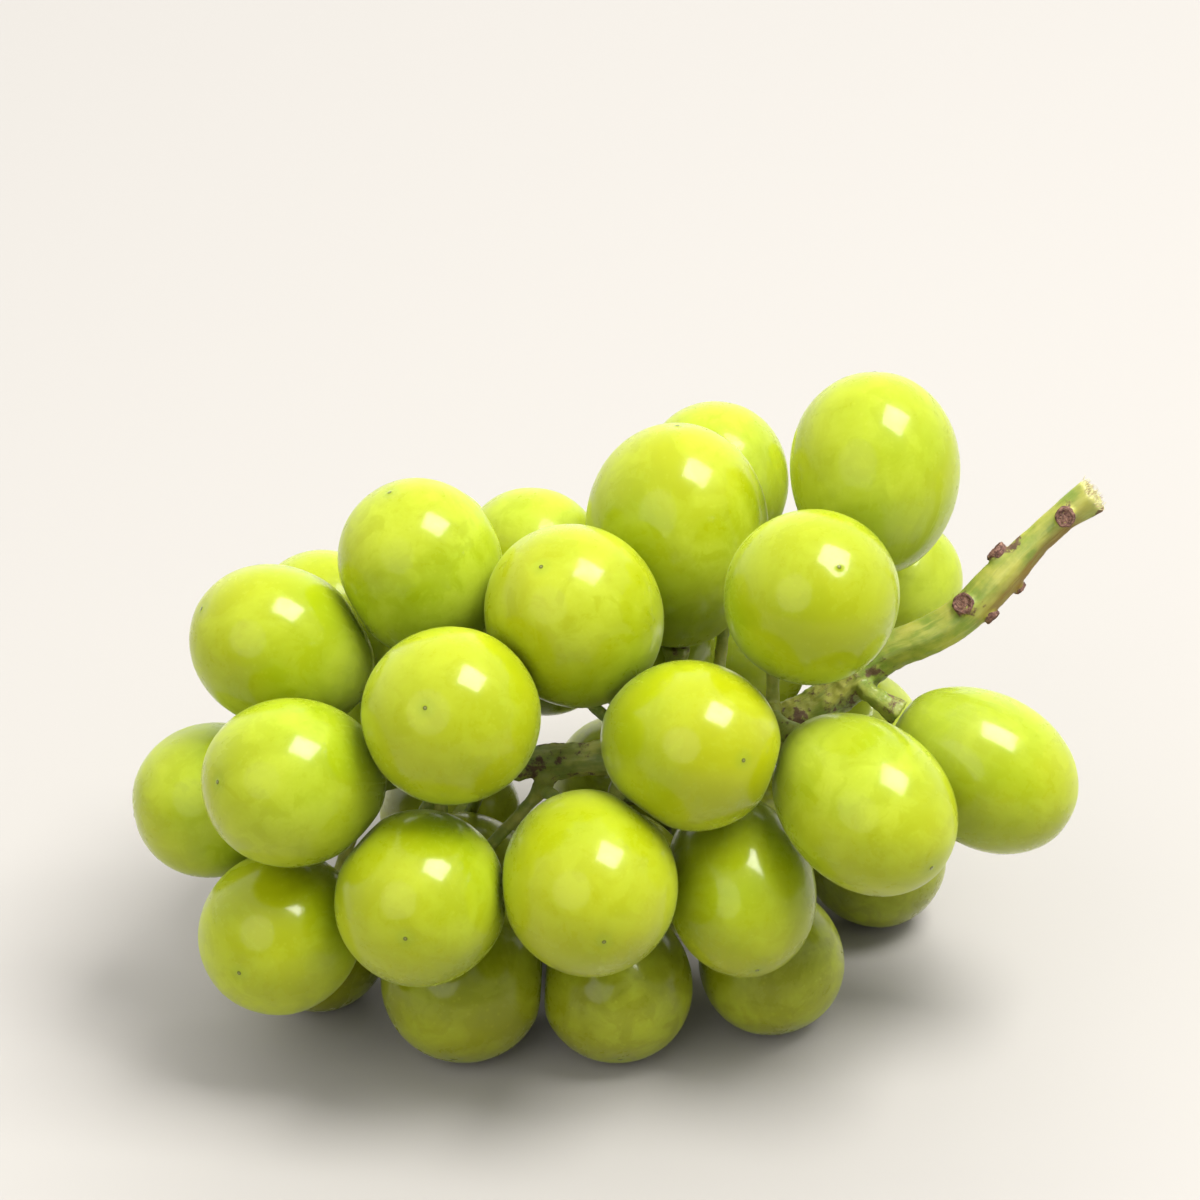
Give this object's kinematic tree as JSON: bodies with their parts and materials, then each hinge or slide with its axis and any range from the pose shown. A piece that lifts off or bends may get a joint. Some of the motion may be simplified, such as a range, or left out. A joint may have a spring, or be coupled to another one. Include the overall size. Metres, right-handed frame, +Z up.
{
  "type": "bunch of grapes",
  "caption": "Bunch of large green table grapes lying on its side, with a branching green stem and a cut stalk.",
  "frame": {"origin": "middle of the footprint, on the surface the bunch lies on", "axes": "+X along the bunch towards the cut end of the stalk, +Z up, -Y the front"},
  "size_m": [0.16, 0.1186, 0.106],
  "materials": {
    "berry_skin": "satin waxy skin, translucent yellow-green",
    "green_stem": "matt green stem with brown corky scars"
  },
  "bodies": {
    "root": {"berry_01": "berry_skin", "berry_02": "berry_skin", "berry_03": "berry_skin", "berry_04": "berry_skin", "berry_05": "berry_skin", "berry_06": "berry_skin", "berry_07": "berry_skin", "berry_08": "berry_skin", "berry_09": "berry_skin", "berry_10": "berry_skin", "berry_11": "berry_skin", "berry_12": "berry_skin", "berry_13": "berry_skin", "berry_14": "berry_skin", "berry_15": "berry_skin", "berry_16": "berry_skin", "berry_17": "berry_skin", "berry_18": "berry_skin", "berry_19": "berry_skin", "berry_20": "berry_skin", "berry_21": "berry_skin", "berry_22": "berry_skin", "berry_23": "berry_skin", "berry_24": "berry_skin", "berry_25": "berry_skin", "berry_26": "berry_skin", "berry_27": "berry_skin", "berry_28": "berry_skin", "berry_29": "berry_skin", "berry_30": "berry_skin", "berry_31": "berry_skin", "berry_32": "berry_skin", "berry_33": "berry_skin", "berry_34": "berry_skin", "berry_35": "berry_skin", "berry_36": "berry_skin", "berry_37": "berry_skin", "berry_38": "berry_skin", "berry_39": "berry_skin", "berry_40": "berry_skin", "stem": "green_stem"}
  },
  "joints": []
}
